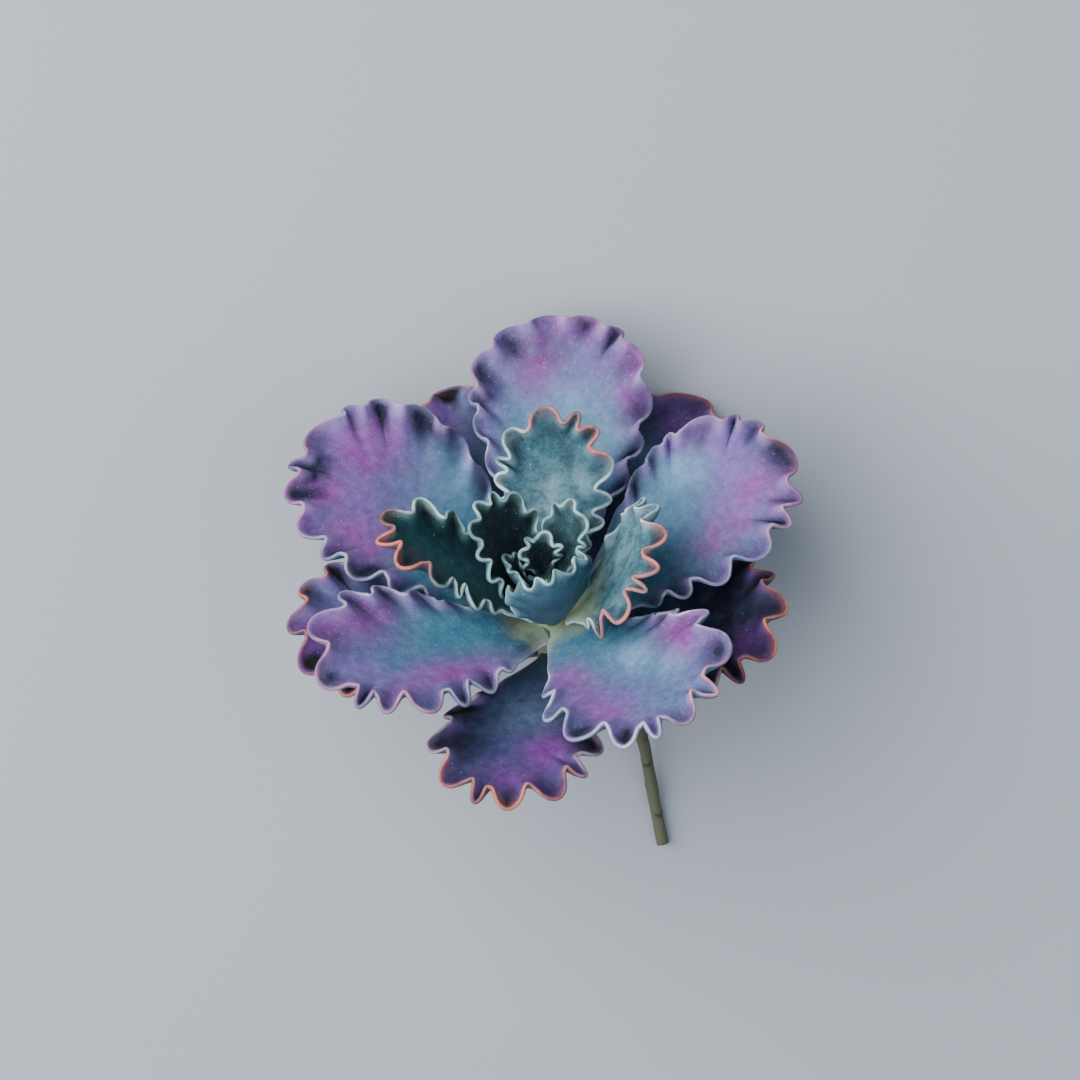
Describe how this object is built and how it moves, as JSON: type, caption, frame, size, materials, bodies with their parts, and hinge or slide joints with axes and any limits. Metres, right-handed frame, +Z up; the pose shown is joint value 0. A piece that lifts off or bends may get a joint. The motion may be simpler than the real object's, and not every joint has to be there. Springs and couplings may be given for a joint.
{
  "type": "cut echeveria rosette",
  "caption": "Cut rosette of Echeveria shaviana lying on its back leaves and its slender stem: thin, cupped, powdery leaves with frilled margins open out from a tight heart.",
  "frame": {"origin": "on the surface it lies on, under the middle of the outline seen from above", "axes": "+Z up, +Y from the cut end of the stem towards the tips of the upper leaves, +X to the right seen from above with the stem towards the viewer"},
  "size_m": [0.0628, 0.069, 0.0525],
  "materials": {
    "leaf_lilac": "powdery matte leaf, blue-grey in the middle and lilac towards the frill",
    "leaf_plum": "powdery matte leaf, dark plum with a rust-pink rim",
    "leaf_teal": "powdery matte leaf, grey-teal with a salmon rim",
    "leaf_heart": "powdery matte leaf, deep blue-green with a pale rim",
    "leaf_bud": "powdery matte leaf, blue-green with a pale rim",
    "stem": "matte green-brown stem"
  },
  "bodies": {
    "root": {"leaf_top": "leaf_lilac", "leaf_upper_left": "leaf_lilac", "leaf_left": "leaf_lilac", "leaf_right": "leaf_lilac", "leaf_lower_right": "leaf_lilac", "leaf_bottom": "leaf_plum", "leaf_under_left": "leaf_plum", "leaf_under_right": "leaf_plum", "leaf_back_left": "leaf_plum", "leaf_back_right": "leaf_plum", "leaf_back_side": "leaf_plum", "leaf_inner_top": "leaf_teal", "leaf_inner_left": "leaf_teal", "leaf_inner_right": "leaf_teal", "leaf_heart_left": "leaf_heart", "leaf_heart_front": "leaf_heart", "leaf_heart_right": "leaf_bud", "leaf_bud_top": "leaf_bud", "leaf_bud_left": "leaf_bud", "leaf_bud_centre": "leaf_bud", "stem": "stem"}
  },
  "joints": []
}
